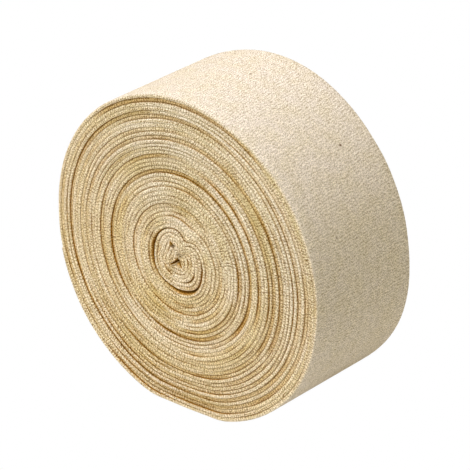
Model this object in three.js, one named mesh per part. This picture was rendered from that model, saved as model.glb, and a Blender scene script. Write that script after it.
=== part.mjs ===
// A roll of tubular support bandage: one knitted elastic tube, pressed flat and wound up on itself, with
// no core of its own. The roll stands on its rim. Its axis runs along Y, its near end face looks towards
// -Y, and the flat spot on which it rests lies at z = 0. Millimetres, +Z up.
// Angles are in degrees, anticlockwise from +X as the near end face is seen.

import * as THREE from 'three';

// The roll
const ROLL_RADIUS = 76.2; // at the loose outer end, where the roll is widest
const FLAT_WIDTH = 62.5; // width of the tube pressed flat, which is the roll's width
const REST_DROP = 73.3; // from the roll's axis down to the flat spot
const FLAT_FADE = 5; // how fast the flat spot fades inwards: a power of the share wound
const LOOSE_END_ANGLE = 194; // where the cut end of the outermost turn lies
const END_TAPER = 0.07; // share of a turn over which the loose end is pressed thinner
const END_PRESSED = 0.65; // share of its thickness that it has lost at the cut
const STEPS = 60; // steps in one turn round the roll

// The crumpled middle, which was wound first and sits a little off the roll's axis
const CORE_X = -5.1;
const CORE_Z = -2.8;
const CORE_RADIUS = 14.1;
const DENT_FADE = 0.09; // share of the winding over which the turns round off the core's dent
const CORE_GAP = 0.6; // gap round the middle where it is tight
const GAP_FLOOR_DEPTH = 1.2;
const GAP_DEPTH_PER_WIDTH = 1.3;
const GAP_WALL_SLOPE = 0.45; // how far the gap's floor stands in from its walls

// Folds and rounding
const FOLD_RADIUS = 0.9; // half a turn: the rounded fold along each edge of the flat tube
const SEAM_BLEND = 0.18; // share of a turn over which one ridge's form changes into the next one's
const EXTRA_SPREAD = 55; // half-width, in degrees, of the stretch where a groove is extra deep
const WAVE = 0.16; // height of the slow waves along the ridges
const WAVES_PER_TURN = 3;
const WAVE_DRIFT = 70; // degrees by which the waves shift from one revolution to the next

// Ridges that show on the end faces, from the middle outwards. Each is a few turns that lie level.
// turns: turns of cloth in it. slip: how far it has slid towards the near face. groove: depth of the
// groove on its inner side, all the way round. extra: further depth of that groove about the angle at.
const RIDGES = [
  { turns: 0.3, slip: 0.0, groove: 0.6, extra: 0.3, at: 200 },
  { turns: 2, slip: 0.1, groove: 0.9, extra: 0.5, at: 230 },
  { turns: 2, slip: 0.3, groove: 0.9, extra: 0.4, at: 120 },
  { turns: 2, slip: 0.1, groove: 1.0, extra: 0.3, at: 20 },
  { turns: 3, slip: -0.2, groove: 1.3, extra: 0.4, at: 220 },
  { turns: 2, slip: -0.4, groove: 1.0, extra: 0.4, at: 60 },
  { turns: 3, slip: -0.5, groove: 1.1, extra: 1.2, at: 345 },
  { turns: 3, slip: 0.8, groove: 2.3, extra: 0.9, at: 250 },
  { turns: 2, slip: 0.0, groove: 1.1, extra: 0.9, at: 25 },
  { turns: 3, slip: 0.2, groove: 1.2, extra: 0.9, at: 180 },
  { turns: 2, slip: -0.2, groove: 1.1, extra: 1.4, at: 350 },
  { turns: 2, slip: 0.1, groove: 0.9, extra: 0.4, at: 100 },
  { turns: 3, slip: 0.3, groove: 1.1, extra: 0.8, at: 35 },
  { turns: 2, slip: 0.1, groove: 1.1, extra: 1.7, at: 145 },
  { turns: 2, slip: 0.4, groove: 1.0, extra: 0.8, at: 30 },
  { turns: 1, slip: -0.2, groove: 0.8, extra: 0.9, at: 100 },
];

// Lumps on the round forms: how far each one reaches, about which angle, and how wide it spreads
const RIM_LUMPS = [
  { angle: 5, reach: -0.7, spread: 35 },
  { angle: 125, reach: 0.9, spread: 32 },
];
const CORE_LUMPS = [
  { angle: 60, reach: -3.6, spread: 14 },
  { angle: 98, reach: 0.8, spread: 18 },
  { angle: 250, reach: -0.6, spread: 20 },
  { angle: 312, reach: 0.9, spread: 24 },
];
const GAP_LUMPS = [
  { angle: 175, reach: 1.1, spread: 45 },
  { angle: 285, reach: 1.0, spread: 48 },
];

// Rings across the middle, as shares of its own outline, with how far each one is rounded off
const CORE_RINGS = [
  { share: 0.97, rounded: 0.7 },
  { share: 0.86, rounded: 0.0 },
  { share: 0.68, rounded: 0.2 },
  { share: 0.5, rounded: 0.1 },
  { share: 0.33, rounded: 0.2 },
  { share: 0.16, rounded: 0.2 },
];

// Pits and folds in the middle, placed from its centre: x, z, half-width along and across, the turn of
// the long side, and the depth (a fold that stands up has a depth below zero)
const CORE_FOLDS = [
  { x: -3.4, z: 6.4, along: 3.2, across: 1.2, turn: 70, depth: 2.0 },
  { x: -1.4, z: -1.2, along: 3.4, across: 1.3, turn: 50, depth: 2.4 },
  { x: 1.4, z: 5.6, along: 4.0, across: 1.2, turn: 75, depth: 0.9 },
  { x: -1.1, z: -4.4, along: 2.4, across: 1.6, turn: 15, depth: -0.8 },
  { x: -8.0, z: 2.5, along: 5.5, across: 1.4, turn: 65, depth: -0.4 },
  { x: 6.5, z: -1.0, along: 5.0, across: 1.8, turn: 95, depth: -0.5 },
];

const BANDAGE_COLOUR = 0xdcc79b;

const outermost = RIDGES[RIDGES.length - 1];
const totalTurns = RIDGES.reduce((sum, ridge) => sum + ridge.turns, 0);
const lastStep = STEPS * RIDGES.length;

function clockAngle(step) {
  // The winding goes outwards clockwise and ends at the loose end.
  return LOOSE_END_ANGLE - (360 * step) / STEPS;
}

function lumps(angle, rows) {
  let sum = 0;
  for (const row of rows) {
    const away = THREE.MathUtils.euclideanModulo(angle - row.angle + 180, 360) - 180;
    sum += row.reach * Math.exp(-((away / row.spread) ** 2));
  }
  return sum;
}

function turnsWound(revolution) {
  // Turns of cloth inside the groove line after this many revolutions. Each revolution starts with the
  // turns of all ridges before its own and ends with its own ridge's added.
  const end = RIDGES.length;
  const pressed = THREE.MathUtils.smoothstep(revolution, end - END_TAPER, end);
  let wound = -END_PRESSED * pressed * outermost.turns;
  for (const [before, ridge] of RIDGES.entries()) {
    wound += ridge.turns * THREE.MathUtils.clamp(revolution - before, 0, 1);
  }
  return wound;
}

function ridgeForm(revolution, angle) {
  // Slip and groove depth on the winding, eased from one ridge's values into the next one's.
  const row = Math.min(Math.floor(revolution), RIDGES.length - 1);
  const before = RIDGES[Math.max(row - 1, 0)];
  const here = RIDGES[row];
  const ease = THREE.MathUtils.smoothstep(revolution - row, 0, SEAM_BLEND);
  const depth = (ridge) => ridge.groove
    + lumps(angle, [{ angle: ridge.at, reach: ridge.extra, spread: EXTRA_SPREAD }]);
  return {
    slip: THREE.MathUtils.lerp(before.slip, here.slip, ease),
    groove: THREE.MathUtils.lerp(depth(before), depth(here), ease),
  };
}

function roundPoint(angle, wound) {
  // A point of the winding before it is stood down: the core's outline, rounded off outwards, grows
  // evenly into the rim, while the centre of the turns moves from the core's centre to the roll's axis.
  const share = wound / totalTurns;
  const inner = CORE_RADIUS + lumps(angle, CORE_LUMPS) * Math.exp(-share / DENT_FADE);
  const rim = ROLL_RADIUS + lumps(angle, RIM_LUMPS);
  const radius = THREE.MathUtils.lerp(inner, rim, share);
  const turned = THREE.MathUtils.degToRad(angle);
  return {
    x: CORE_X * (1 - share) + radius * Math.cos(turned),
    z: CORE_Z * (1 - share) + radius * Math.sin(turned),
  };
}

function windingPoint(angle, wound) {
  // The roll's weight flattens the rim where it stands, and the turns above it less and less.
  const fromEnd = THREE.MathUtils.euclideanModulo(LOOSE_END_ANGLE - angle, 360) / 360;
  const rimWound = totalTurns - outermost.turns * (1 - fromEnd);
  const squash = Math.max(-REST_DROP - roundPoint(angle, rimWound).z, 0);
  const point = roundPoint(angle, wound);
  return { x: point.x, z: point.z + squash * (wound / rimWound) ** FLAT_FADE };
}

function corePoint(angle, share, inset) {
  const radius = (CORE_RADIUS + lumps(angle, CORE_LUMPS) - inset) * share;
  const turned = THREE.MathUtils.degToRad(angle);
  return { x: CORE_X + radius * Math.cos(turned), z: CORE_Z + radius * Math.sin(turned) };
}

function coreDepth(point) {
  // Each pit or fold is a smooth oval dip in the middle's end face.
  let depth = 0;
  for (const fold of CORE_FOLDS) {
    const turned = THREE.MathUtils.degToRad(fold.turn);
    const dx = point.x - CORE_X - fold.x;
    const dz = point.z - CORE_Z - fold.z;
    const along = (dx * Math.cos(turned) + dz * Math.sin(turned)) / fold.along;
    const across = (dz * Math.cos(turned) - dx * Math.sin(turned)) / fold.across;
    depth += fold.depth * Math.exp(-(along ** 2) - across ** 2);
  }
  return depth;
}

const vertices = [];
const triangles = [];

function addVertex(face, point, depth, slip = 0) {
  vertices.push(point.x, face * (FLAT_WIDTH / 2 - depth) - slip, point.z);
  return vertices.length / 3 - 1;
}

function addTriangle(face, a, b, c) {
  // Corners are given anticlockwise as the near face is seen.
  triangles.push(a, face < 0 ? b : c, face < 0 ? c : b);
}

function addStrip(face, inner, outer) {
  // Both lines run clockwise, the outer one outside the inner one.
  for (let i = 0; i + 1 < inner.length; i += 1) {
    addTriangle(face, inner[i], inner[i + 1], outer[i + 1]);
    addTriangle(face, inner[i], outer[i + 1], outer[i]);
  }
}

function addRing(face, pointAt, depthAt) {
  const ring = [];
  for (let i = 0; i < STEPS; i += 1) {
    const angle = clockAngle(i);
    const point = pointAt(angle);
    ring.push(addVertex(face, point, depthAt(angle, point)));
  }
  ring.push(ring[0]);
  return ring;
}

function addWinding(face) {
  // The spiral of ridges. The groove line runs from the core to the rim, and a crest line runs between
  // it and its own next revolution. The last revolution of the groove line is the rim's rounded edge.
  const groove = [];
  for (let step = 0; step <= lastStep; step += 1) {
    const revolution = step / STEPS;
    const angle = clockAngle(step);
    const form = ridgeForm(revolution, angle);
    const onRim = step >= lastStep - STEPS;
    const point = windingPoint(angle, turnsWound(revolution));
    groove.push(addVertex(face, point, onRim ? FOLD_RADIUS : form.groove, onRim ? form.slip : 0));
  }
  const crest = [];
  for (let step = 0; step <= lastStep - STEPS; step += 1) {
    const revolution = step / STEPS;
    const angle = clockAngle(step);
    const form = ridgeForm(revolution, angle);
    const wound = (turnsWound(revolution) + turnsWound(revolution + 1)) / 2;
    const phase = THREE.MathUtils.degToRad(angle * WAVES_PER_TURN + WAVE_DRIFT * revolution);
    const wave = WAVE * Math.sin(phase);
    crest.push(addVertex(face, windingPoint(angle, wound), wave, form.slip));
  }
  addStrip(face, groove.slice(0, crest.length), crest);
  addStrip(face, crest, groove.slice(STEPS));
  return { groove, crest };
}

function addCore(face, winding) {
  // The gap's outer wall runs down from the first revolution of the groove line, whose two ends meet the
  // same place at the start of the winding.
  const gapWidth = (angle) => CORE_GAP + lumps(angle, GAP_LUMPS);
  const gapDepth = (angle) => GAP_FLOOR_DEPTH + GAP_DEPTH_PER_WIDTH * gapWidth(angle);
  const outerFloor = addRing(face, (angle) => corePoint(angle, 1, GAP_WALL_SLOPE), gapDepth);
  const innerFloor = addRing(
    face,
    (angle) => corePoint(angle, 1, gapWidth(angle) + GAP_WALL_SLOPE),
    gapDepth,
  );
  addStrip(face, outerFloor, winding.groove.slice(0, STEPS + 1));
  addTriangle(face, outerFloor[0], winding.groove[0], winding.crest[0]);
  addTriangle(face, outerFloor[0], winding.crest[0], winding.groove[STEPS]);
  addStrip(face, innerFloor, outerFloor);
  let outer = innerFloor;
  for (const { share, rounded } of CORE_RINGS) {
    const inner = addRing(
      face,
      (angle) => corePoint(angle, share, gapWidth(angle) + 2 * GAP_WALL_SLOPE),
      (angle, point) => rounded + coreDepth(point),
    );
    addStrip(face, inner, outer);
    outer = inner;
  }
  const middle = { x: CORE_X, z: CORE_Z };
  const centre = addVertex(face, middle, coreDepth(middle));
  for (let i = 0; i < STEPS; i += 1) {
    addTriangle(face, centre, outer[i + 1], outer[i]);
  }
}

function rimLine(winding) {
  // Once round the outermost turn, clockwise, and back across its cut end.
  const start = lastStep - STEPS;
  return [...winding.groove.slice(start), winding.crest[start], winding.groove[start]];
}

function wind() {
  const near = addWinding(-1);
  addCore(-1, near);
  const far = addWinding(1);
  addCore(1, far);
  const nearRim = rimLine(near);
  const farRim = rimLine(far);
  for (let i = 0; i + 1 < nearRim.length; i += 1) {
    triangles.push(nearRim[i], nearRim[i + 1], farRim[i + 1]);
    triangles.push(nearRim[i], farRim[i + 1], farRim[i]);
  }
  const geometry = new THREE.BufferGeometry();
  geometry.setAttribute('position', new THREE.Float32BufferAttribute(vertices, 3));
  geometry.setIndex(triangles);
  geometry.computeVertexNormals();
  return geometry;
}

const bandageRoll = new THREE.Mesh(
  wind(),
  new THREE.MeshStandardMaterial({ color: BANDAGE_COLOUR, roughness: 0.95, metalness: 0 }),
);
bandageRoll.name = 'bandage_roll';

// Stand the roll on its flat spot, with the middle of its box over the origin.
bandageRoll.geometry.computeBoundingBox();
const box = bandageRoll.geometry.boundingBox;
bandageRoll.position.set(-(box.min.x + box.max.x) / 2, -(box.min.y + box.max.y) / 2, -box.min.z);

const roll = new THREE.Group();
roll.add(bandageRoll);

export default roll;
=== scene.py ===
import bpy
import numpy as np
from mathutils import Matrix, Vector


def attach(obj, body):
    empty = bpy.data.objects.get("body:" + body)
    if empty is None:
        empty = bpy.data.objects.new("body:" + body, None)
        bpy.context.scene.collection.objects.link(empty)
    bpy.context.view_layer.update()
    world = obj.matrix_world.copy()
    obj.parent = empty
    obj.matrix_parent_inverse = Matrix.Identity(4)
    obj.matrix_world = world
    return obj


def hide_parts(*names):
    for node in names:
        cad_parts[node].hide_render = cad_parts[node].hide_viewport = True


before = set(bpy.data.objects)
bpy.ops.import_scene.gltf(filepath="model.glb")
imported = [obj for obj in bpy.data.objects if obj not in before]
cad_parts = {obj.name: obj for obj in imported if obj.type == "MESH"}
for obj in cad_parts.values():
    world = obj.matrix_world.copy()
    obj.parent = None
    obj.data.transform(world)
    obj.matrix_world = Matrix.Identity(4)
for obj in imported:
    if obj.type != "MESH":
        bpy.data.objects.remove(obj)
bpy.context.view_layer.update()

# Bandage cloth
# One long tube of cotton and elastic thread, knitted round, pressed flat and rolled up tight by machine.
# Every turn is the whole flat tube, so the folds along its two sides are the ridges on the flat faces.
# Nothing is sewn, tied or stuck: the last turn simply ends, pressed thin, under the roll at the back.

# Sizes are in millimetres, but for the cloth's own length, which is in metres. Angles are in degrees,
# anticlockwise from the right as the near face is seen. A turn is made of equal steps.
MILLIMETRE = 0.001
STEPS = 108
WHOLE_TURNS = 40
LAST_STEPS = 18
SECTIONS = WHOLE_TURNS * STEPS + LAST_STEPS
ALL_TURNS = SECTIONS / STEPS
LOOSE_END_ANGLE = 194.0
FLAT_WIDTH = 62.5

# The loose plug in the middle has its own few turns, then the tight turns begin outside it
TIGHT_TURNS = 33.6278
PLUG_TURNS = ALL_TURNS - TIGHT_TURNS
PLUG_X = -5.1
PLUG_Z = -2.8
PLUG_SHIFT_POWER = 1.5
PLUG_RADIUS = 14.85
PLUG_START_RADIUS = 1.5
RIM_RADIUS = 75.3
DENT_FADE = 0.09

# Lumps and dents in the outline of the rim: how far each one reaches, and how wide it spreads
RIM_LUMPS = [
    {"angle": 8, "reach": -0.9, "spread": 30},
    {"angle": 85, "reach": 1.35, "spread": 30},
    {"angle": 144, "reach": 1.4, "spread": 28},
    {"angle": 335, "reach": 0.8, "spread": 18},
]

# Where the roll is fuller at its near face than at its far one, or the other way where reach is negative
RIM_LEAN = [
    {"angle": 122, "reach": 0.9, "spread": 30},
    {"angle": 70, "reach": -0.8, "spread": 35},
    {"angle": 308, "reach": 0.55, "spread": 22},
    {"angle": 342, "reach": -0.4, "spread": 15},
]
LEAN_FADE = 8

# Lumps and dents in the plug's own outline, and places where the air round it is wider
PLUG_LUMPS = [
    {"angle": 68, "reach": -4.0, "spread": 16},
    {"angle": 312, "reach": 1.1, "spread": 30},
    {"angle": 250, "reach": -0.8, "spread": 18},
    {"angle": 170, "reach": -0.5, "spread": 20},
]
AIR_LUMPS = [
    {"angle": 178, "reach": 0.85, "spread": 40},
    {"angle": 285, "reach": 1.0, "spread": 35},
    {"angle": 350, "reach": 0.85, "spread": 25},
]
AIR_BASE = 0.22

# Where the tight turns are wound a little fuller, by angle and by turn, which is the level here
FULLER_RING = {"angle": 100, "reach": 1.2, "spread": 60, "level": 20, "levels": 6}

# Places where the layers of the plug are pushed in or out, by angle and by level, which is the share of
# the plug's turns here, and one place where they ripple
PLUG_KINKS = [
    {"angle": 68, "reach": -2.2, "spread": 20, "level": 0.5, "levels": 0.38},
    {"angle": 215, "reach": 2.4, "spread": 14, "level": 0.0, "levels": 0.3},
    {"angle": 303, "reach": 1.1, "spread": 14, "level": 0.0, "levels": 0.3},
    {"angle": 255, "reach": -1.0, "spread": 15, "level": 0.0, "levels": 0.2},
    {"angle": 111, "reach": -1.4, "spread": 7, "level": 0.18, "levels": 0.2},
    {"angle": 150, "reach": -0.6, "spread": 9, "level": 0.55, "levels": 0.3},
    {"angle": 185, "reach": 0.5, "spread": 9, "level": 0.5, "levels": 0.3},
]
RIPPLES = {"angle": 185, "reach": 0.28, "spread": 40, "level": 0.62, "levels": 0.26, "waves": 20}

# The slit left in the very middle: its reach from the plug's centre by angle
SLIT = [
    {"angle": 211, "reach": 3.6, "spread": 10},
    {"angle": 318, "reach": 2.6, "spread": 12},
    {"angle": 100, "reach": 0.6, "spread": 30},
]
SLIT_LEAST = 0.9

# Openings between two turns: the number of the inner one, the angle, and the width in millimetres
OPENINGS = [
    {"turn": 2.378, "angle": 116, "width": 4.2, "spread": 6},
    {"turn": 1.511, "angle": 70, "width": 0.8, "spread": 12},
    {"turn": 3.82, "angle": 320, "width": 0.5, "spread": 26},
]
OPENING_REACH = 1.2

# Parts of turns whose edge stands back from the near face, or proud of it where back is negative, and
# how far the fold parts there from the next one out, from 0 to 1. Those of the far face follow.
NEAR_ROWS = [
    {"start": 4.57, "end": 5.50, "back": 0.0, "part": 0.8},
    {"start": 5.53, "end": 6.54, "back": 0.1, "part": 1.0},
    {"start": 6.54, "end": 6.90, "back": 0.0, "part": 0.7},
    {"start": 11.65, "end": 12.55, "back": 0.2, "part": 0.9},
    {"start": 16.75, "end": 16.95, "back": 0.4, "part": 0.8},
    {"start": 17.45, "end": 17.88, "back": 0.35, "part": 1.0},
    {"start": 18.85, "end": 19.08, "back": 0.9, "part": 0.5},
    {"start": 19.82, "end": 20.83, "back": 0.7, "part": 1.0},
    {"start": 21.50, "end": 22.90, "back": -0.25, "part": 0.2},
    {"start": 23.50, "end": 23.76, "back": 0.5, "part": 1.0},
    {"start": 23.95, "end": 24.45, "back": 0.4, "part": 0.9},
    {"start": 25.92, "end": 26.06, "back": 0.4, "part": 1.0},
    {"start": 26.50, "end": 26.76, "back": 0.3, "part": 0.9},
    {"start": 27.66, "end": 27.92, "back": 0.5, "part": 1.0},
    {"start": 28.80, "end": 29.80, "back": 0.6, "part": 0.8},
    {"start": 28.88, "end": 29.06, "back": 0.55, "part": 1.0},
    {"start": 29.60, "end": 29.80, "back": 0.4, "part": 1.0},
    {"start": 30.66, "end": 30.95, "back": 0.5, "part": 1.0},
    {"start": 31.62, "end": 31.86, "back": 0.45, "part": 1.0},
    {"start": 31.86, "end": 32.03, "back": 0.8, "part": 1.0},
    {"start": 32.66, "end": 32.98, "back": 0.4, "part": 1.0},
    {"start": 33.00, "end": 33.12, "back": 0.4, "part": 0.9},
    {"start": 33.45, "end": 33.76, "back": 0.3, "part": 0.9},
    {"start": 34.35, "end": 34.62, "back": 0.5, "part": 1.0},
    {"start": 34.62, "end": 34.95, "back": 0.3, "part": 0.5},
    {"start": 34.95, "end": 35.42, "back": 0.6, "part": 1.0},
    {"start": 36.50, "end": 36.76, "back": 0.3, "part": 0.8},
    {"start": 36.92, "end": 37.04, "back": 0.45, "part": 1.0},
    {"start": 37.50, "end": 37.76, "back": 0.3, "part": 0.9},
    {"start": 37.88, "end": 38.02, "back": 0.9, "part": 1.0},
    {"start": 38.34, "end": 38.56, "back": 0.8, "part": 1.0},
    {"start": 38.98, "end": 39.06, "back": 0.8, "part": 1.0},
]
FAR_ROWS = [
    {"start": 5.80, "end": 6.40, "back": 1.2, "part": 1.0},
    {"start": 9.20, "end": 10.40, "back": 0.6, "part": 0.9},
    {"start": 17.10, "end": 17.90, "back": 0.4, "part": 1.0},
    {"start": 24.60, "end": 25.75, "back": 1.1, "part": 1.0},
    {"start": 31.20, "end": 31.90, "back": 0.5, "part": 0.8},
    {"start": 36.30, "end": 37.20, "back": 0.9, "part": 1.0},
]
BACK_RAMP = 0.05

# Seeded noise along the winding: its reach, its seed, the turns from one random row to the next, and
# the number of random places round each turn. The reach of the tones, partings and crests is a share.
NOISE = {
    "tight_radius": {"reach": 0.2, "seed": 11, "turns": 1, "places": 6},
    "plug_radius": {"reach": 0.18, "seed": 12, "turns": 1, "places": 7},
    "wiggle": {"reach": 0.07, "seed": 13, "turns": 1, "places": 30},
    "slip": {"reach": 0.32, "seed": 21, "turns": 4, "places": 3},
    "fine_slip": {"reach": 0.16, "seed": 22, "turns": 1, "places": 4},
    "near_tuck": {"reach": 0.14, "seed": 23, "turns": 1, "places": 8},
    "fine_near_tuck": {"reach": 0.1, "seed": 24, "turns": 1, "places": 36},
    "far_tuck": {"reach": 0.2, "seed": 25, "turns": 1, "places": 8},
    "fine_far_tuck": {"reach": 0.06, "seed": 26, "turns": 1, "places": 40},
    "near_tone": {"reach": 0.4, "seed": 51, "turns": 3, "places": 9},
    "fine_near_tone": {"reach": 0.2, "seed": 52, "turns": 1, "places": 17},
    "far_tone": {"reach": 0.4, "seed": 53, "turns": 3, "places": 9},
    "fine_far_tone": {"reach": 0.2, "seed": 54, "turns": 1, "places": 17},
    "near_parting": {"reach": 1.0, "seed": 41, "turns": 1, "places": 24},
    "far_parting": {"reach": 1.0, "seed": 42, "turns": 1, "places": 24},
    "near_crest": {"reach": 0.5, "seed": 61, "turns": 1, "places": 24},
    "far_crest": {"reach": 0.5, "seed": 62, "turns": 1, "places": 24},
}


def bell(offset, spread):
    """A bump of height one: e to the power of minus the square of offset over spread."""
    return np.exp(-((offset / spread) ** 2))


def ease(share):
    """Smooth step from 0 to 1: three times the square less twice the cube of the clipped share."""
    share = np.clip(share, 0, 1)
    return share * share * (3 - 2 * share)


def angle_between(angle, place):
    """The difference of two angles in degrees, brought to within half a turn of nought."""
    return (angle - place + 180) % 360 - 180


def swell(angle, rows):
    """The sum over the rows of reach times a bell of the angle from the row's own angle."""
    return sum(row["reach"] * bell(angle_between(angle, row["angle"]), row["spread"]) for row in rows)


def wavering(turn, angle, seed, turns, places):
    """Seeded noise of about one in size: random heights on a grid of turns by angles, eased between."""
    heights = np.random.default_rng(seed).normal(size=(int(ALL_TURNS / turns) + 3, places))
    row = turn / turns
    column = (angle / 360 * places) % places
    row_low = np.floor(row).astype(int)
    column_low = np.floor(column).astype(int) % places
    column_high = (column_low + 1) % places
    row_share = ease(row - row_low)
    column_share = ease(column - np.floor(column))
    low = heights[row_low, column_low] * (1 - column_share)
    low = low + heights[row_low, column_high] * column_share
    high = heights[row_low + 1, column_low] * (1 - column_share)
    high = high + heights[row_low + 1, column_high] * column_share
    return low * (1 - row_share) + high * row_share


def stepped(turn, rows, column):
    """The sum of one column of the rows, each eased in at the row's start and out at its end."""
    total = np.zeros_like(turn)
    for row in rows:
        rise = ease((turn - row["start"]) / BACK_RAMP + 0.5)
        fall = ease((row["end"] - turn) / BACK_RAMP + 0.5)
        total += row[column] * rise * fall
    return total


turn = np.arange(SECTIONS + 1) / STEPS
angle = LOOSE_END_ANGLE + 360 * (ALL_TURNS - turn)
tight = np.clip((turn - PLUG_TURNS) / TIGHT_TURNS, 0, 1)
plug = np.clip(turn / PLUG_TURNS, 0, 1)


def noise(name):
    """A row of the noise table along the whole winding: its reach times its seeded noise."""
    row = NOISE[name]
    return row["reach"] * wavering(turn, angle, row["seed"], row["turns"], row["places"])


def patch(row, level):
    """The row's reach times a bell of the angle from its own, and a bell of the level from its own."""
    across = bell(angle_between(angle, row["angle"]), row["spread"])
    return row["reach"] * across * bell(level - row["level"], row["levels"])


def between_ends(share, steepness):
    """One in the middle of a share's way from 0 to 1, and down to nought at both ends of it."""
    return np.clip(steepness * share * (1 - share), 0, 1)


# The winding's centre line: its radius goes evenly from the plug's outline to the rim's, with noise that
# stops at both, and the last turns are even
TIGHT_STEEPNESS = 8
PLUG_STEEPNESS = 6
EVEN_TURNS = 1.5
EVEN_FADE = 2
plug_outline = PLUG_RADIUS + swell(angle, PLUG_LUMPS) * np.exp(-tight / DENT_FADE)
rim_outline = RIM_RADIUS + swell(angle, RIM_LUMPS)
air_round_plug = AIR_BASE + swell(angle, AIR_LUMPS)
tight_radius = plug_outline * (1 - tight) + rim_outline * tight
tight_radius += patch(FULLER_RING, turn)
tight_radius += noise("tight_radius") * between_ends(tight, TIGHT_STEEPNESS)
plug_radius = PLUG_START_RADIUS + (plug_outline - air_round_plug - PLUG_START_RADIUS) * plug
for kink in PLUG_KINKS:
    plug_radius += patch(kink, plug)
plug_radius += patch(RIPPLES, plug) * np.sin(np.radians(RIPPLES["waves"] * angle))
plug_radius += noise("plug_radius") * between_ends(plug, PLUG_STEEPNESS)
radius = np.where(turn < PLUG_TURNS, plug_radius, tight_radius)
radius += noise("wiggle") * np.clip((ALL_TURNS - EVEN_TURNS - turn) / EVEN_FADE, 0, 1)

# Air between each turn and the next one out, where they part
AIR_IN_CREASE = 0.06
air_outside = np.full_like(turn, AIR_IN_CREASE)
round_plug = (turn >= PLUG_TURNS - 1) & (turn < PLUG_TURNS)
air_outside[round_plug] += air_round_plug[round_plug]
for opening in OPENINGS:
    across = bell(angle_between(angle, opening["angle"]), opening["spread"])
    levels = turn - opening["turn"] - 0.5
    push = np.sign(levels) * np.exp(-np.clip(np.abs(levels) - 0.5, 0, None) / OPENING_REACH)
    radius += opening["width"] / 2 * across * push
    here = np.abs(turn - opening["turn"]) < 0.5
    air_outside[here] += (opening["width"] * across)[here]

shift = 1 - tight ** PLUG_SHIFT_POWER
centre_x = PLUG_X * shift
centre_z = PLUG_Z * shift
line_x = centre_x + radius * np.cos(np.radians(angle))
line_z = centre_z + radius * np.sin(np.radians(angle))
line = np.stack([line_x, line_z], axis=1)

# Each turn's walls lie halfway to its neighbours, so that no two turns overlap, and the loose end is
# pressed thin
outward = np.stack([np.cos(np.radians(angle)), np.sin(np.radians(angle))], axis=1)
to_next = line[STEPS:] - line[:-STEPS]
apart = np.linalg.norm(to_next, axis=1, keepdims=True)
between = (line[STEPS:] + line[:-STEPS]) / 2
last_half = apart[-STEPS - 1:] / 2
WALL_LEAST = 0.25
END_TAPER = 0.07
END_PRESSED = 0.65
pressed = END_PRESSED * (1 - ease((ALL_TURNS - turn) / END_TAPER))


def walls_of(air, slit):
    """Inner and outer walls: halfway to the next turns less half the air there, and round the slit."""
    half_air = to_next / apart * air[:-STEPS, None] / 2
    inner = line.copy()
    outer = line.copy()
    outer[:-STEPS] = between - half_air
    inner[STEPS:] = between + half_air
    to_slit = np.clip(radius[:STEPS] - slit, WALL_LEAST, None)
    inner[:STEPS] = line[:STEPS] - outward[:STEPS] * to_slit[:, None]
    outer[-STEPS - 1:] = line[-STEPS - 1:] + outward[-STEPS - 1:] * last_half
    outer += (inner - outer) * pressed[:, None]
    return inner, outer


inner_wall, outer_wall = walls_of(air_outside, SLIT_LEAST + swell(angle[:STEPS], SLIT))
SLIT_CLOSED = 0.1
inner_closed, outer_closed = walls_of(np.zeros_like(air_outside), SLIT_CLOSED)

# How far each turn's two edges stand back from the flat faces
slip = noise("slip") + noise("fine_slip")
near_tuck = noise("near_tuck") + noise("fine_near_tuck")
far_tuck = noise("far_tuck") + noise("fine_far_tuck")
near_rows = stepped(turn, NEAR_ROWS, "back")
near_back = slip + near_tuck + near_rows
FAR_FOLLOWS = 0.5
far_back = far_tuck + stepped(turn, FAR_ROWS, "back") - slip - FAR_FOLLOWS * near_rows


def beside_turns(back, before, after):
    """The mean of the edges a turn in and a turn out; before and after stand in where there is none."""
    padded = np.concatenate([before, back, after])
    return (padded[:-2 * STEPS] + padded[2 * STEPS:]) / 2


# How much further back than its neighbours a hollow edge lies, how much further out a proud one, how
# much paler proud folds are as painted highlight and deeper sunk ones as painted shade, and how much
# paler those of the plug are
FULL_HOLLOW = 1.6
FULL_PROUD = 0.6
PROUD_LIGHT_AND_SHADE = 0.2
PLUG_PALE = 0.45


def hollow_of(back):
    """How deep an edge lies beside its neighbours a turn in and out: 0 level or proud, 1 deep."""
    before = np.full(STEPS, back[:STEPS].mean())
    after = np.full(STEPS, back[-STEPS:].mean())
    return np.clip((back - beside_turns(back, before, after)) / FULL_HOLLOW, 0, 1)


def tone_of(back, uneven):
    """Fold colour: noise, paler in the plug, painted highlight where it stands proud, painted shade
    where sunk.
    """
    proud = np.clip((beside_turns(back, back[:STEPS], back[-STEPS:]) - back) / FULL_PROUD, -1, 1)
    return uneven + PROUD_LIGHT_AND_SHADE * proud + PLUG_PALE * (turn < PLUG_TURNS)


# The lower part of the near face is a little deeper in colour
DEEPER_LOW = [{"angle": 245, "reach": -0.2, "spread": 50}]
near_hollow = hollow_of(near_back)
far_hollow = hollow_of(far_back)
near_tone = tone_of(near_back, noise("near_tone") + noise("fine_near_tone"))
near_tone += swell(angle, DEEPER_LOW)
far_tone = tone_of(far_back, noise("far_tone") + noise("fine_far_tone"))

# Neighbouring folds mostly press together into one surface, and part here and there into a crease. These
# are the places where hardly any do, by angle and by turn.
PRESSED_FLAT = [
    {"angle": 15, "reach": 0.6, "spread": 42, "level": 8.5, "levels": 3.0},
    {"angle": 235, "reach": 0.6, "spread": 25, "level": 25.0, "levels": 2.5},
]
pressed_flat = sum(patch(row, turn) for row in PRESSED_FLAT)
PART_MORE = 0.35
PART_RANGE = 1.7
PART_STEP = 1.1
PLUG_LOOSE = 0.6


def beside_each(values):
    """Two columns for the two sides of each turn: the values of the turn inside it, then its own."""
    return np.stack([np.concatenate([values[:STEPS], values[:-STEPS]]), values], axis=1)


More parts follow.
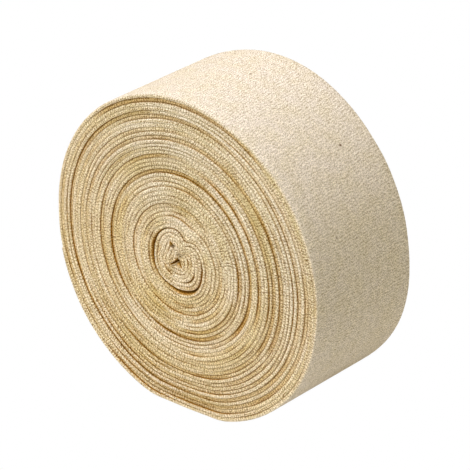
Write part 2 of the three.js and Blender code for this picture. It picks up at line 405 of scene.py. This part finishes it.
def parting_of(back, rows, uneven):
    """How far each fold parts from the next one out: by noise, its row, or the step between them."""
    loose = (uneven + PART_MORE) / PART_RANGE + PLUG_LOOSE * (1 - plug)
    parting = ease(loose - pressed_flat)
    parting = np.maximum(parting, np.clip(stepped(turn, rows, "part"), 0, 1))
    step_apart = np.abs(back[STEPS:] - back[:-STEPS])
    parting[:-STEPS] = np.maximum(parting[:-STEPS], ease(step_apart / PART_STEP))
    return beside_each(parting)


near_parting = parting_of(near_back, NEAR_ROWS, noise("near_parting"))
far_parting = parting_of(far_back, FAR_ROWS, noise("far_parting"))

# The section of the flat tube, walked from the middle of its inner wall round to there again: the inner
# wall's first two places, the near cap, the outer wall, the far cap, and the inner wall's last place
CAP_ANGLES = np.radians([-90, -60, -30, 0, 30, 60, 90])
WALL_PLACES = [-27.0, -13.0, 0.0, 13.0, 27.0]
NEAR_CAP = slice(2, 9)
OUTER_WALL = slice(9, 14)
FAR_CAP = slice(14, 21)
CAP_LENGTH = 0.8
CAP_PRESSED = 0.28
cap_sides = (1 + np.sin(CAP_ANGLES)) / 2
cap_depths = 1 - np.cos(CAP_ANGLES)
outer_half = (CAP_ANGLES > 0).astype(int)
sides = np.concatenate([[0, 0], cap_sides, np.ones(len(WALL_PLACES)), cap_sides[::-1], [0]])
near_length = CAP_PRESSED + (CAP_LENGTH - CAP_PRESSED) * near_parting[:, outer_half]
far_length = CAP_PRESSED + (CAP_LENGTH - CAP_PRESSED) * far_parting[:, outer_half]
near_y = -FLAT_WIDTH / 2 + near_back[:, None] + near_length * cap_depths
far_y = (FLAT_WIDTH / 2 - far_back[:, None] - far_length * cap_depths)[:, ::-1]
flat_y = np.ones((SECTIONS + 1, 1))
widthwise = np.concatenate(
    [
        flat_y * [0.0, WALL_PLACES[0]],
        near_y,
        flat_y * WALL_PLACES,
        far_y,
        flat_y * [WALL_PLACES[-1]],
    ],
    axis=1,
)
SECTION_POINTS = len(sides)


def between_walls(inner, outer):
    """Places between two walls, by each section point's share of the way from the inner to the outer."""
    return inner[:, None, :] + (outer - inner)[:, None, :] * sides[None, :, None]


# The gaps between turns close towards the middle of the width
closed = np.zeros(SECTION_POINTS, dtype=bool)
closed[0] = True
closed[OUTER_WALL] = [False, True, True, True, False]
open_places = between_walls(inner_wall, outer_wall)
closed_places = between_walls(inner_closed, outer_closed)
plane = np.where(closed[None, :, None], closed_places, open_places)
points = np.stack([plane[:, :, 0], widthwise, plane[:, :, 1]], axis=2)

# The roll settles a little where it stands: the turns below its axis are squashed up off the floor
REST_DROP = 73.7
REST_SOFTNESS = 0.35
SQUASH_FADE = 5
LEVEL_MOST = 1.02
distance = np.hypot(points[:, :, 0], points[:, :, 2])
below = -points[:, :, 2] / distance
seen_from_axis = np.degrees(np.arctan2(points[:, :, 2], points[:, :, 0]))
half_turn = last_half.mean()
rim = RIM_RADIUS + half_turn + swell(seen_from_axis, RIM_LUMPS)
level = np.clip(distance / rim, 0, LEVEL_MOST)
lean = swell(seen_from_axis, RIM_LEAN) * points[:, :, 1] / (-FLAT_WIDTH / 2) * level ** LEAN_FADE
fuller = 1 + lean / distance
points[:, :, 0] *= fuller
points[:, :, 2] *= fuller
too_low = (rim + lean) * below - REST_DROP
squash = REST_SOFTNESS * np.log1p(np.exp(too_low / REST_SOFTNESS)) * level ** SQUASH_FADE
points[:, :, 2] += squash + REST_DROP
points[:, :, 2] = np.clip(points[:, :, 2], 0, None)

vertices = points.reshape(-1, 3) * MILLIMETRE
section = np.arange(SECTIONS)[:, None] * SECTION_POINTS
step = np.arange(SECTION_POINTS)[None, :]
step_on = (step + 1) % SECTION_POINTS
quads = np.stack(
    [
        section + step,
        section + step_on,
        section + SECTION_POINTS + step_on,
        section + SECTION_POINTS + step,
    ],
    axis=2,
).reshape(-1, 4)
first_end = np.arange(SECTION_POINTS)[::-1]
last_end = SECTIONS * SECTION_POINTS + np.arange(SECTION_POINTS)

mesh = bpy.data.meshes.new("bandage_cloth")
loop_vertices = np.concatenate([quads.ravel(), first_end, last_end]).astype(np.int32)
end_starts = 4 * len(quads) + np.array([0, SECTION_POINTS])
loop_starts = np.concatenate([np.arange(len(quads)) * 4, end_starts])
mesh.vertices.add(len(vertices))
mesh.vertices.foreach_set("co", vertices.ravel())
mesh.loops.add(len(loop_vertices))
mesh.loops.foreach_set("vertex_index", loop_vertices)
mesh.polygons.add(len(loop_starts))
mesh.polygons.foreach_set("loop_start", loop_starts.astype(np.int32))
mesh.update(calc_edges=True)

# Texture places: along the cloth from its inner end, and round the section from its seam. A stitch is
# one course by one wale, and CAP_ROUND is the way round a fold.
along = np.concatenate([[0], np.cumsum(np.linalg.norm(np.diff(line, axis=0), axis=1))])
COURSE = 1.42
WALE = 2.1
CAP_ROUND = 2.6
round_wall = FLAT_WIDTH - 2 * CAP_LENGTH
whole_round = np.round((2 * round_wall + 2 * CAP_ROUND) / WALE) * WALE
cap_round = np.linspace(0, CAP_ROUND, len(CAP_ANGLES))
near_start = round_wall / 2
far_start = near_start + CAP_ROUND + round_wall
round_places = np.concatenate(
    [
        [0, WALL_PLACES[-1]],
        near_start + cap_round,
        near_start + CAP_ROUND + round_wall / 2 + np.array(WALL_PLACES),
        far_start + cap_round,
        [whole_round + WALL_PLACES[0], whole_round],
    ]
)
u_low = np.repeat(along[:-1], SECTION_POINTS)
u_high = np.repeat(along[1:], SECTION_POINTS)
v_low = np.tile(round_places[:-1], SECTIONS)
v_high = np.tile(round_places[1:], SECTIONS)
quad_uv = np.stack([u_low, v_low, u_low, v_high, u_high, v_high, u_high, v_low], axis=1).reshape(-1, 2)
end_uv = np.zeros((2 * SECTION_POINTS, 2))
weave_map = mesh.uv_layers.new(name="weave")
weave_map.uv.foreach_set("vector", (np.concatenate([quad_uv, end_uv]) * MILLIMETRE).ravel())

# Creases, where shade is painted: how narrow they are, how much wider beside open air, and the thin
# lines of painted shade along the crests
CREASE_NARROW = 4
CREASE_WIDER = 3
CREST_LINE = 0.2
CREST_MOST = 0.9
air_beside = np.clip(beside_each(air_outside), 0, 1) * [1, 0]
air_beside[:STEPS, 0] = 1
flank_air = air_beside[:, outer_half]
crease_share = np.abs(np.sin(CAP_ANGLES)) ** (CREASE_NARROW - CREASE_WIDER * flank_air)
at_wall = (cap_sides == 0) | (cap_sides == 1)


def crease_of(parting, uneven):
    """Painted shade of the crease at each point of a cap: most at a parted flank, with lines on the
    crest.
    """
    crease = parting[:, outer_half] * crease_share
    crest_line = np.clip(CREST_LINE - pressed_flat + uneven, 0, CREST_MOST)
    crease[:, CAP_ANGLES == 0] = crest_line[:, None]
    return crease


def depth_of(hollow, parting):
    """How deep each cap point lies, for its painted shade: as its own edge does, deepest at a parted or
    open flank.
    """
    flank = np.maximum(parting[:, outer_half] * at_wall, flank_air * crease_share)
    return np.maximum(hollow[:, None], flank)


# Painted cool shade: the upper right of the near face is a little darker and greyer
GREYED_SHADE = [
    {"angle": 100.0, "reach": 1.0, "spread": 42.0},
    {"angle": 20.0, "reach": 0.8, "spread": 32.0},
]
GREYED_SHADE_FROM = 16.0

# Masks for the colour, all of them 0 on the rim. fold is 1 on the ridges of the faces. crease and hollow
# carry
# painted shade: crease is 1 down between the folds, and hollow is 1 where they lie deep. tone is above 0
# on paler folds and below it on deeper ones, partly painted highlight on proud folds and painted shade
# on sunk ones, and greyed is 1 where the near face gets painted cool shade.
WALL_CREASE = 0.4
shape = (SECTIONS + 1, SECTION_POINTS)
masks_given = {
    "fold": np.zeros(shape),
    "crease": np.full(shape, WALL_CREASE),
    "hollow": np.ones(shape),
    "tone": np.zeros(shape),
    "greyed": np.zeros(shape),
}
masks_given["fold"][:, NEAR_CAP] = 1
masks_given["fold"][:, FAR_CAP] = 1
masks_given["crease"][:STEPS, sides == 0] = 1
masks_given["crease"][:, NEAR_CAP] = crease_of(near_parting, noise("near_crest"))
masks_given["crease"][:, FAR_CAP] = crease_of(far_parting, noise("far_crest"))[:, ::-1]
masks_given["hollow"][:, NEAR_CAP] = depth_of(near_hollow, near_parting)
masks_given["hollow"][:, FAR_CAP] = depth_of(far_hollow, far_parting)[:, ::-1]
masks_given["tone"][:, NEAR_CAP] = near_tone[:, None]
masks_given["tone"][:, FAR_CAP] = far_tone[:, None]
greyed_shade_there = np.clip(swell(angle, GREYED_SHADE), 0, 1) * ease(turn / GREYED_SHADE_FROM)
masks_given["greyed"][:, NEAR_CAP] = greyed_shade_there[:, None]
outermost = np.arange(SECTIONS + 1)[:, None] >= SECTIONS - STEPS
inside = 1.0 - outermost * sides[None, :] ** 2
for name, values in masks_given.items():
    attribute = mesh.attributes.new(name, "FLOAT", "POINT")
    attribute.data.foreach_set("value", (values * inside).ravel())

mesh.polygons.foreach_set("use_smooth", np.ones(len(loop_starts), dtype=bool))
mesh.update()
mesh.validate()
cloth = bpy.data.objects.new("bandage_cloth", mesh)
bpy.context.scene.collection.objects.link(cloth)


def linear(red, green, blue):
    """A colour given as three numbers to 255, as linear light with full opacity."""
    share = np.array([red, green, blue]) / 255
    light = np.where(share <= 0.04045, share / 12.92, ((share + 0.055) / 1.055) ** 2.4)
    return (*light.tolist(), 1.0)


def add_math(nodes, links, operation, *values):
    """A math node on the given values, which are numbers or sockets; returns its output socket."""
    node = nodes.new("ShaderNodeMath")
    node.operation = operation
    for place, value in enumerate(values):
        if isinstance(value, (int, float)):
            node.inputs[place].default_value = value
        else:
            links.new(value, node.inputs[place])
    return node.outputs[0]


def new_group(name, vectors, numbers, result):
    """A node group with vector and number inputs and one number as its result, and its inner sockets."""
    group = bpy.data.node_groups.new(name, "ShaderNodeTree")
    for socket_name in vectors:
        group.interface.new_socket(socket_name, in_out="INPUT", socket_type="NodeSocketVector")
    for socket_name in numbers:
        group.interface.new_socket(socket_name, in_out="INPUT", socket_type="NodeSocketFloat")
    group.interface.new_socket(result, in_out="OUTPUT", socket_type="NodeSocketFloat")
    inputs = group.nodes.new("NodeGroupInput").outputs
    outputs = group.nodes.new("NodeGroupOutput").inputs
    return group, inputs, outputs


# Stitch rows: the noise that makes them uneven and how many courses it moves them, how far they rise
# from one wale to the next, and how much lower a stitch is where its V turns
UNEVEN_SCALE = 160
UNEVEN_COURSES = 1.4
COURSE_RISE = 0.09
LOWER_TURNS = 0.35


def make_knit_group():
    """Knit courses: a wave each course, bent within each wale into a shallow V, and uneven by noise."""
    group, inputs, outputs = new_group("knit", ["Place"], ["Course", "Wale", "Lean"], "Height")
    nodes = group.nodes
    links = group.links
    uneven = nodes.new("ShaderNodeTexNoise")
    uneven.inputs["Scale"].default_value = UNEVEN_SCALE
    uneven.inputs["Detail"].default_value = 2
    links.new(inputs["Place"], uneven.inputs["Vector"])
    noise_value = uneven.outputs["Fac"]
    offset = add_math(nodes, links, "MULTIPLY_ADD", noise_value, 2 * UNEVEN_COURSES, -UNEVEN_COURSES)
    split = nodes.new("ShaderNodeSeparateXYZ")
    links.new(inputs["Place"], split.inputs[0])
    course = add_math(nodes, links, "DIVIDE", split.outputs["X"], inputs["Course"])
    course = add_math(nodes, links, "ADD", course, offset)
    wale = add_math(nodes, links, "DIVIDE", split.outputs["Y"], inputs["Wale"])
    course = add_math(nodes, links, "MULTIPLY_ADD", wale, COURSE_RISE, course)
    wale = add_math(nodes, links, "FRACT", wale)
    from_middle = add_math(nodes, links, "ABSOLUTE", add_math(nodes, links, "SUBTRACT", wale, 0.5))
    leaning = add_math(nodes, links, "MULTIPLY_ADD", from_middle, inputs["Lean"], course)
    turned = add_math(nodes, links, "MULTIPLY", leaning, 2 * np.pi)
    thread = add_math(nodes, links, "MULTIPLY_ADD", add_math(nodes, links, "COSINE", turned), 0.5, 0.5)
    leg = add_math(nodes, links, "SINE", add_math(nodes, links, "MULTIPLY", from_middle, 2 * np.pi))
    leg = add_math(nodes, links, "MULTIPLY_ADD", leg, LOWER_TURNS, 1 - LOWER_TURNS)
    height = add_math(nodes, links, "MULTIPLY", thread, leg)
    links.new(height, outputs["Height"])
    return group


def make_grain_group():
    """Fuzzy grain: noise whose specks are Along by Round in size, with its contrast raised."""
    group, inputs, outputs = new_group("grain", ["Place"], ["Along", "Round", "Contrast"], "Value")
    nodes = group.nodes
    links = group.links
    split = nodes.new("ShaderNodeSeparateXYZ")
    links.new(inputs["Place"], split.inputs[0])
    join = nodes.new("ShaderNodeCombineXYZ")
    links.new(add_math(nodes, links, "DIVIDE", split.outputs["X"], inputs["Along"]), join.inputs["X"])
    links.new(add_math(nodes, links, "DIVIDE", split.outputs["Y"], inputs["Round"]), join.inputs["Y"])
    fuzz = nodes.new("ShaderNodeTexNoise")
    fuzz.inputs["Scale"].default_value = 1
    fuzz.inputs["Detail"].default_value = 1
    fuzz.inputs["Roughness"].default_value = 0.5
    links.new(join.outputs[0], fuzz.inputs["Vector"])
    centred = add_math(nodes, links, "SUBTRACT", fuzz.outputs["Fac"], 0.5)
    raised = nodes.new("ShaderNodeMath")
    raised.operation = "MULTIPLY_ADD"
    raised.use_clamp = True
    raised.inputs[2].default_value = 0.5
    links.new(centred, raised.inputs[0])
    links.new(inputs["Contrast"], raised.inputs[1])
    links.new(raised.outputs[0], outputs["Value"])
    return group


def mix_colour(nodes, links, share, first, second, blend="MIX"):
    """A mix node from the first colour to the second by the share; returns the colour socket."""
    node = nodes.new("ShaderNodeMix")
    node.data_type = "RGBA"
    node.blend_type = blend
    links.new(share, node.inputs[0])
    for place, value in ((6, first), (7, second)):
        if isinstance(value, tuple):
            node.inputs[place].default_value = value
        else:
            links.new(value, node.inputs[place])
    return node.outputs[2]


def clamped(nodes, links, value, times, plus):
    """A math node for the value times a number plus another, kept within 0 and 1; returns its socket."""
    node = nodes.new("ShaderNodeMath")
    node.operation = "MULTIPLY_ADD"
    node.use_clamp = True
    node.inputs[1].default_value = times
    node.inputs[2].default_value = plus
    links.new(value, node.inputs[0])
    return node.outputs[0]


def tinted(nodes, links, share, colour, tint):
    """The colour multiplied by the tint, by the share; returns the colour socket."""
    return mix_colour(nodes, links, share, colour, (*tint, 1), "MULTIPLY")


# Specks of seed husk on the rim: angle, place across the width, size, and how dark each one is. Their
# edges are steeper where SPECK_EDGE is higher.
SPECK_EDGE = 2.0
SPECKS = [
    {"angle": 48.0, "y": 11.9, "size": 0.75, "depth": 1.0},
    {"angle": 85.7, "y": 7.8, "size": 0.7, "depth": 0.8},
    {"angle": 21.2, "y": -12.6, "size": 0.65, "depth": 0.7},
    {"angle": 16.9, "y": -0.7, "size": 0.6, "depth": 0.7},
    {"angle": 120.0, "y": 9.0, "size": 0.7, "depth": 0.8},
    {"angle": 199.0, "y": -6.0, "size": 0.6, "depth": 0.7},
    {"angle": 144.0, "y": 15.0, "size": 0.75, "depth": 0.8},
]


def on_rim(place_angle, y):
    """The place in metres on the last turn's outer wall, at an angle and a y from the middle."""
    from_place = np.abs(angle_between(angle[SECTIONS - STEPS:SECTIONS], place_angle))
    wall = points[SECTIONS - STEPS + np.argmin(from_place), OUTER_WALL]
    x = np.interp(y, wall[:, 1], wall[:, 0])
    z = np.interp(y, wall[:, 1], wall[:, 2])
    return (x * MILLIMETRE, y * MILLIMETRE, z * MILLIMETRE)


def make_speck_group():
    """One round speck: full out to half its size from the centre, and fading to nothing at its size."""
    group, inputs, outputs = new_group("speck", ["Place", "Centre"], ["Size"], "Share")
    nodes = group.nodes
    links = group.links
    away = nodes.new("ShaderNodeVectorMath")
    away.operation = "DISTANCE"
    links.new(inputs["Place"], away.inputs[0])
    links.new(inputs["Centre"], away.inputs[1])
    far = add_math(nodes, links, "DIVIDE", away.outputs["Value"], inputs["Size"])
    links.new(clamped(nodes, links, far, -SPECK_EDGE, SPECK_EDGE), outputs["Share"])
    return group


# Colours, as red, green and blue to 255: the thread and the gaps between its stitches on the rim and on
# the folds, the fuzz, the palest folds, which are partly painted highlight on proud folds, and the husk
RIM_THREAD = (247, 234, 207)
RIM_GAPS = (140, 120, 84)
FOLD_THREAD = (245, 222, 170)
FOLD_GAPS = (110, 78, 24)
FUZZ = (255, 243, 212)
PALE_FOLD_AND_HIGHLIGHT = (252, 240, 214)
HUSK = (96, 66, 36)

# Tints, as shares of red, green and blue: yellower clouds, deeper folds, partly painted shade where they
# lie back, painted cool shade on greyer folds, painted shade on folds that lie deep, and painted shade
# in the creases between folds
CLOUD_TINT = (0.965, 0.955, 0.88)
DEEPER_TONE_AND_SHADE_TINT = (0.88, 0.82, 0.58)
GREYED_SHADE_TINT = (0.91, 0.94, 1.0)
HOLLOW_SHADE_TINT = (0.82, 0.56, 0.18)
CREASE_SHADE_TINT = (0.55, 0.4, 0.11)

# The grains' specks along the cloth and round it, and their contrast
GRAINS = [
    {"name": "fine", "along": 0.48, "round": 0.57, "contrast": 14.0},
    {"name": "coarse", "along": 1.6, "round": 2.4, "contrast": 5.0},
]

# How strongly the stitches, the grains, the gaps and the fuzz show, and how much more on the folds
KNIT_SHOWS = 0.25
FINE_SHOWS = 0.48
MORE_ON_FOLDS = 0.2
COARSE_SHOWS = 0.16
GAPS_SHOW = 0.82
GAPS_MORE_ON_FOLDS = 0.18
FUZZ_SHOWS = 0.6

# Contrast of the clouds, how strongly a fold's tone shows, and how far the texture breaks up a crease's
# painted shade
CLOUD_CONTRAST = 3.0
PALE_SHOWS = 0.18
DEEPER_SHOWS = 0.8
DEEPER_LEAST = 0.12
CREASE_BROKEN = 1.1
CREASE_MOST = 1.5


def make_cloth_material():
    """Cream cotton knit, golden on the folds of the faces, with warm brown painted shade down between
    them.
    """
    material = bpy.data.materials.new("cotton_knit_cloth")
    material.use_nodes = True
    nodes = material.node_tree.nodes
    links = material.node_tree.links
    shader = nodes["Principled BSDF"]
    place = nodes.new("ShaderNodeUVMap")
    place.uv_map = "weave"
    knit = nodes.new("ShaderNodeGroup")
    knit.node_tree = make_knit_group()
    knit.inputs["Course"].default_value = COURSE * MILLIMETRE
    knit.inputs["Wale"].default_value = WALE * MILLIMETRE
    knit.inputs["Lean"].default_value = 0.6
    links.new(place.outputs["UV"], knit.inputs["Place"])
    grain_tree = make_grain_group()
    grains = {}
    for row in GRAINS:
        grain = nodes.new("ShaderNodeGroup")
        grain.node_tree = grain_tree
        grain.inputs["Along"].default_value = row["along"] * MILLIMETRE
        grain.inputs["Round"].default_value = row["round"] * MILLIMETRE
        grain.inputs["Contrast"].default_value = row["contrast"]
        links.new(place.outputs["UV"], grain.inputs["Place"])
        grains[row["name"]] = grain.outputs["Value"]
    masks = {}
    for name in masks_given:
        mask = nodes.new("ShaderNodeAttribute")
        mask.attribute_name = name
        masks[name] = mask.outputs["Fac"]

    # The thread itself, with the darker gaps between its stitches and the pale fuzz on top of them
    knit_share = add_math(nodes, links, "MULTIPLY_ADD", masks["fold"], MORE_ON_FOLDS, KNIT_SHOWS)
    texture = add_math(nodes, links, "MULTIPLY", knit.outputs["Height"], knit_share)
    fine_share = add_math(nodes, links, "MULTIPLY_ADD", masks["fold"], MORE_ON_FOLDS, FINE_SHOWS)
    texture = add_math(nodes, links, "MULTIPLY_ADD", grains["fine"], fine_share, texture)
    texture = add_math(nodes, links, "MULTIPLY_ADD", grains["coarse"], COARSE_SHOWS, texture)
    colour = mix_colour(nodes, links, masks["fold"], linear(*RIM_THREAD), linear(*FOLD_THREAD))
    gap_colour = mix_colour(nodes, links, masks["fold"], linear(*RIM_GAPS), linear(*FOLD_GAPS))
    gap_most = add_math(nodes, links, "MULTIPLY_ADD", masks["fold"], GAPS_MORE_ON_FOLDS, GAPS_SHOW)
    gap_share = add_math(nodes, links, "SUBTRACT", 1.0, texture)
    gap_share = add_math(nodes, links, "MULTIPLY", gap_share, gap_most)
    colour = mix_colour(nodes, links, gap_share, colour, gap_colour)
    fuzz_share = add_math(nodes, links, "POWER", texture, 2.0)
    fuzz_share = add_math(nodes, links, "MULTIPLY", fuzz_share, FUZZ_SHOWS)
    colour = mix_colour(nodes, links, fuzz_share, colour, linear(*FUZZ))

    # Yellower clouds, and the folds' tone, which is partly painted highlight on proud folds and painted
    # shade on sunk ones
    where = nodes.new("ShaderNodeTexCoord")
    clouds = nodes.new("ShaderNodeTexNoise")
    clouds.inputs["Scale"].default_value = 120
    clouds.inputs["Detail"].default_value = 2
    links.new(where.outputs["Object"], clouds.inputs["Vector"])
    cloud_share = clamped(nodes, links, clouds.outputs["Fac"], CLOUD_CONTRAST, (1 - CLOUD_CONTRAST) / 2)
    colour = tinted(nodes, links, cloud_share, colour, CLOUD_TINT)
    pale_tone_and_highlight = clamped(nodes, links, masks["tone"], PALE_SHOWS, 0.0)
    colour = mix_colour(nodes, links, pale_tone_and_highlight, colour, linear(*PALE_FOLD_AND_HIGHLIGHT))
    deep_tone_and_shade = clamped(nodes, links, masks["tone"], -DEEPER_SHOWS, DEEPER_LEAST)
    deep_tone_and_shade = add_math(nodes, links, "MULTIPLY", deep_tone_and_shade, masks["fold"])
    colour = tinted(nodes, links, deep_tone_and_shade, colour, DEEPER_TONE_AND_SHADE_TINT)
    # Painted cool shade, a little darker and greyer, on the upper right of the near face
    colour = tinted(nodes, links, masks["greyed"], colour, GREYED_SHADE_TINT)

    # Painted shade, deeper and more golden the less light gets in: down between the folds, and on folds
    # that lie deep
    colour = tinted(nodes, links, masks["hollow"], colour, HOLLOW_SHADE_TINT)
    broken = clamped(nodes, links, texture, -CREASE_BROKEN, CREASE_MOST)
    crease_shade = add_math(nodes, links, "MULTIPLY", masks["crease"], broken)
    colour = tinted(nodes, links, crease_shade, colour, CREASE_SHADE_TINT)

    # A few specks of seed husk left in the cotton
    speck_tree = make_speck_group()
    for speck in SPECKS:
        spot = nodes.new("ShaderNodeGroup")
        spot.node_tree = speck_tree
        spot.inputs["Centre"].default_value = on_rim(speck["angle"], speck["y"])
        spot.inputs["Size"].default_value = speck["size"] * MILLIMETRE
        links.new(where.outputs["Object"], spot.inputs["Place"])
        share = add_math(nodes, links, "MULTIPLY", spot.outputs["Share"], speck["depth"])
        colour = mix_colour(nodes, links, share, colour, linear(*HUSK))
    links.new(colour, shader.inputs["Base Color"])
    shader.inputs["Roughness"].default_value = 0.9
    shader.inputs["Specular IOR Level"].default_value = 0.0
    bump = nodes.new("ShaderNodeBump")
    bump.inputs["Strength"].default_value = 1.0
    bump.inputs["Distance"].default_value = 0.2 * MILLIMETRE
    links.new(texture, bump.inputs["Height"])
    links.new(bump.outputs["Normal"], shader.inputs["Normal"])
    return material


mesh.materials.append(make_cloth_material())
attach(cloth, "root")
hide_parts("bandage_roll")

# Floor
# A plain white surface that the roll stands on. It looks pure white, and sends soft light up from below.

FLOOR_HALF = 3.0
FLOOR_GREY = 0.8
WHITE_STRENGTH = 1.0
floor_mesh = bpy.data.meshes.new("floor")
floor_corners = [(FLOOR_HALF * x, FLOOR_HALF * y, 0) for x, y in ((-1, -1), (1, -1), (1, 1), (-1, 1))]
floor_mesh.from_pydata(floor_corners, [], [(0, 1, 2, 3)])
floor = bpy.data.objects.new("floor", floor_mesh)
bpy.context.scene.collection.objects.link(floor)
floor_material = bpy.data.materials.new("floor_white")
floor_material.use_nodes = True
floor_nodes = floor_material.node_tree.nodes
floor_links = floor_material.node_tree.links
floor_shader = floor_nodes["Principled BSDF"]
floor_shader.inputs["Base Color"].default_value = (FLOOR_GREY, FLOOR_GREY, FLOOR_GREY, 1)
floor_shader.inputs["Roughness"].default_value = 1
floor_glow = floor_nodes.new("ShaderNodeEmission")
floor_glow.inputs["Strength"].default_value = WHITE_STRENGTH
floor_path = floor_nodes.new("ShaderNodeLightPath")
floor_mix = floor_nodes.new("ShaderNodeMixShader")
floor_links.new(floor_path.outputs["Is Camera Ray"], floor_mix.inputs[0])
floor_links.new(floor_shader.outputs[0], floor_mix.inputs[1])
floor_links.new(floor_glow.outputs[0], floor_mix.inputs[2])
floor_links.new(floor_mix.outputs[0], floor_nodes["Material Output"].inputs["Surface"])
floor_mesh.materials.append(floor_material)

# Light
# A white room: even light from all sides, a broad soft lamp above, and a weaker one before each face.

bpy.context.scene.view_settings.view_transform = "Standard"
world = bpy.data.worlds.new("white_room")
bpy.context.scene.world = world
world.use_nodes = True
world_nodes = world.node_tree.nodes
world_links = world.node_tree.links
ROOM_COLOUR = (1, 0.95, 0.66, 1)
ROOM_STRENGTH = 0.395
room = world_nodes["Background"]
room.inputs["Color"].default_value = ROOM_COLOUR
room.inputs["Strength"].default_value = ROOM_STRENGTH
behind = world_nodes.new("ShaderNodeBackground")
behind.inputs["Color"].default_value = (1, 1, 1, 1)
behind.inputs["Strength"].default_value = WHITE_STRENGTH
world_path = world_nodes.new("ShaderNodeLightPath")
world_mix = world_nodes.new("ShaderNodeMixShader")
world_links.new(world_path.outputs["Is Camera Ray"], world_mix.inputs[0])
world_links.new(room.outputs[0], world_mix.inputs[1])
world_links.new(behind.outputs[0], world_mix.inputs[2])
world_links.new(world_mix.outputs[0], world_nodes["World Output"].inputs["Surface"])

# Places and sizes in metres, power in watts
COOL = (0.94, 0.96, 1.3)
WHITE = (1, 1, 1)
LAMPS = [
    {"name": "top_lamp", "place": (-0.1, -0.25, 1.1), "size": 0.8, "power": 13.3, "colour": COOL},
    {"name": "front_lamp", "place": (-0.2, -1.25, 0.5), "size": 0.9, "power": 8.0, "colour": WHITE},
    {"name": "back_lamp", "place": (-0.2, 1.25, 0.5), "size": 0.9, "power": 7.6, "colour": WHITE},
]
LAMP_TARGET = Vector((0, 0, 0.075))
for lamp in LAMPS:
    lamp_data = bpy.data.lights.new(lamp["name"], "AREA")
    lamp_data.energy = lamp["power"]
    lamp_data.color = lamp["colour"]
    lamp_data.size = lamp["size"]
    lamp_object = bpy.data.objects.new(lamp["name"], lamp_data)
    lamp_object.location = lamp["place"]
    lamp_aim = LAMP_TARGET - lamp_object.location
    lamp_object.rotation_euler = lamp_aim.to_track_quat("-Z", "Y").to_euler()
    bpy.context.scene.collection.objects.link(lamp_object)

# Camera
# A long lens from well back, above and to the right of the near face, as the picture was taken.

camera_data = bpy.data.cameras.new("camera")
camera_data.lens = 474.4
camera_data.sensor_width = 36
camera = bpy.data.objects.new("camera", camera_data)
CAMERA_AZIMUTH = np.radians(40.787)
CAMERA_ELEVATION = np.radians(26.644)
CAMERA_DISTANCE = 2.718
back = Vector(
    (
        np.sin(CAMERA_AZIMUTH) * np.cos(CAMERA_ELEVATION),
        -np.cos(CAMERA_AZIMUTH) * np.cos(CAMERA_ELEVATION),
        np.sin(CAMERA_ELEVATION),
    )
)
right = Vector((np.cos(CAMERA_AZIMUTH), np.sin(CAMERA_AZIMUTH), 0))
up = back.cross(right)
AIM_RIGHT = 0.929 * MILLIMETRE
AIM_UP = -0.076 * MILLIMETRE
aim = Vector((0, 0, REST_DROP * MILLIMETRE)) + right * AIM_RIGHT + up * AIM_UP
camera.location = aim + back * CAMERA_DISTANCE
camera.rotation_euler = (-back).to_track_quat("-Z", "Y").to_euler()
bpy.context.scene.collection.objects.link(camera)
bpy.context.scene.camera = camera
